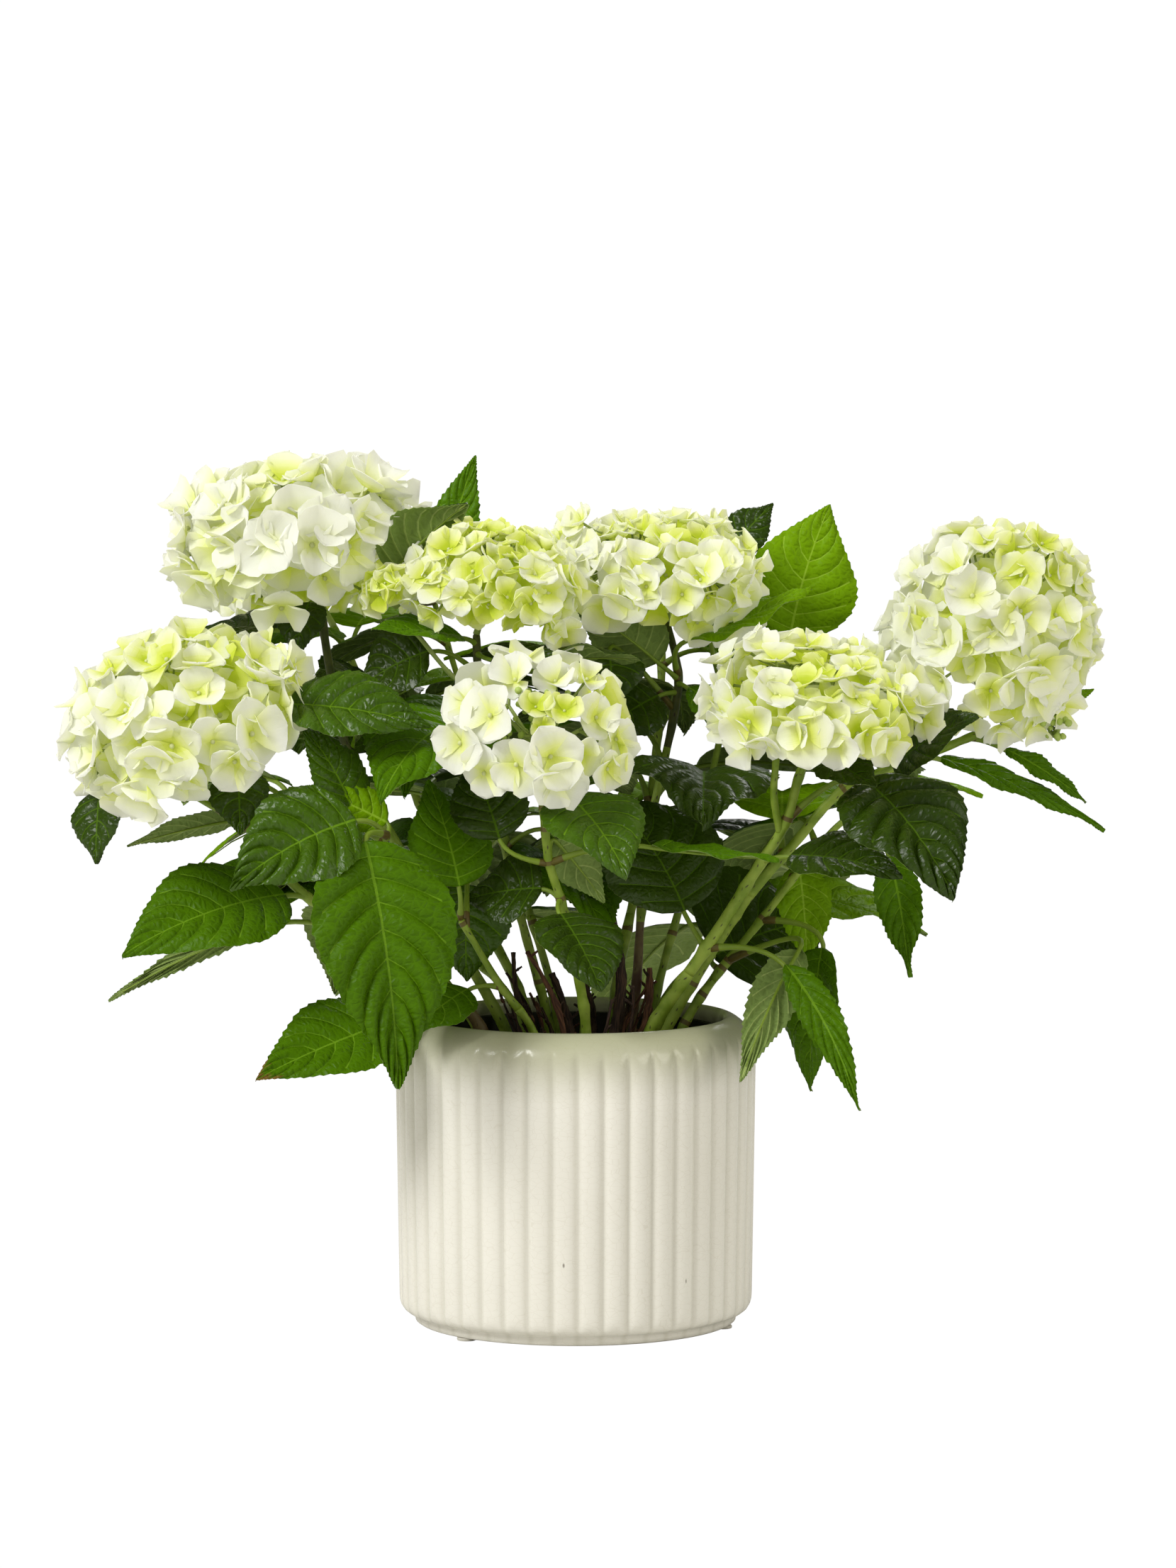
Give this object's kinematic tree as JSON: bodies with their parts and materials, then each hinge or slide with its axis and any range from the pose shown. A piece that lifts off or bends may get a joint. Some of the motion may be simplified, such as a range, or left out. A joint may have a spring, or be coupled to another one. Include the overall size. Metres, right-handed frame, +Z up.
{
  "type": "potted hydrangea",
  "caption": "Bushy hydrangea with cream-green mop-head flowers and broad serrated leaves, growing in a reeded cream ceramic planter.",
  "frame": {"origin": "on the ground, under the middle of the planter", "axes": "+Z up; +X to the right and +Y away, seen from the front"},
  "size_m": [0.6025, 0.4114, 0.5122],
  "materials": {
    "glaze": "glossy, finely crackled",
    "peat": "rough, moist",
    "green_stem": "satin, with dark streaks",
    "old_wood": "rough, peeling bark",
    "leaf": "semi-gloss, quilted between the veins",
    "petal": "soft matte"
  },
  "bodies": {
    "root": {"planter": "glaze", "compost": "peat", "stem_left_tall": "green_stem", "leaves_left_tall": "leaf", "stem_left_low": "green_stem", "leaves_left_low": "leaf", "stem_mid_left": "green_stem", "leaves_mid_left": "leaf", "stem_mid_right": "green_stem", "leaves_mid_right": "leaf", "stem_centre": "green_stem", "leaves_centre": "leaf", "stem_right_front": "green_stem", "leaves_right_front": "leaf", "stem_right_far": "green_stem", "leaves_right_far": "leaf", "stem_back_left": "green_stem", "leaves_back_left": "leaf", "stem_back_right": "green_stem", "leaves_back_right": "leaf", "stem_front_small": "green_stem", "leaves_front_small": "leaf", "stem_right_leafy": "green_stem", "leaves_right_leafy": "leaf", "stem_left_back": "green_stem", "leaves_left_back": "leaf", "stem_rear_left": "green_stem", "leaves_rear_left": "leaf", "stem_rear_right": "green_stem", "leaves_rear_right": "leaf", "stem_low_left": "green_stem", "leaves_low_left": "leaf", "stem_low_mid": "green_stem", "leaves_low_mid": "leaf", "stem_low_right": "green_stem", "leaves_low_right": "leaf", "head_side": "petal", "head_left_tall": "petal", "head_left_low": "petal", "head_mid_left": "petal", "head_mid_right": "petal", "head_centre": "petal", "head_right_front": "petal", "head_right_far": "petal", "head_back_left": "petal", "head_back_right": "petal", "old_stub_1": "old_wood", "old_stub_2": "old_wood", "old_stub_3": "old_wood", "old_stub_4": "old_wood", "old_stub_5": "old_wood", "old_stub_6": "old_wood"}
  },
  "joints": []
}
